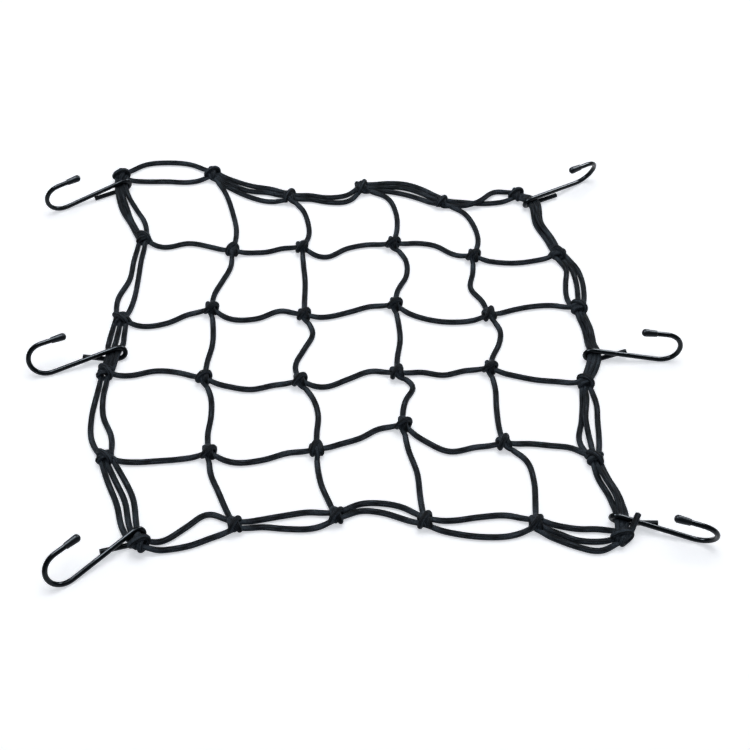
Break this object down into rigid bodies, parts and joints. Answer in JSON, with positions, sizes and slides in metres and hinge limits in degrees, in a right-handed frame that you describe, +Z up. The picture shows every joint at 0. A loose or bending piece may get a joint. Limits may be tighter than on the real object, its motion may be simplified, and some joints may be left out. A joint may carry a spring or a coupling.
{
  "type": "bungee cargo net with hooks",
  "caption": "Knotted elastic cord cargo net with bent wire hooks, lying loose and slightly slack on a flat surface.",
  "frame": {"origin": "middle of the base of the bounding box, on the surface that the net lies on", "axes": "+X to the right along the net's longer side with its side hooks, +Y away from the viewer, +Z up"},
  "size_m": [0.5998, 0.5076, 0.0377],
  "materials": {
    "elastic_cord": "matt black braided sheath",
    "coated_wire": "glossy black dipped coat",
    "soft_tip": "satin black"
  },
  "bodies": {
    "root": {"net": "elastic_cord", "hook_far_left": "coated_wire", "hook_middle_left": "coated_wire", "hook_near_left": "coated_wire", "hook_far_right": "coated_wire", "hook_middle_right": "coated_wire", "hook_near_right": "coated_wire", "tip_far_left": "soft_tip", "tip_middle_left": "soft_tip", "tip_near_left": "soft_tip", "tip_far_right": "soft_tip", "tip_middle_right": "soft_tip", "tip_near_right": "soft_tip"}
  },
  "joints": []
}
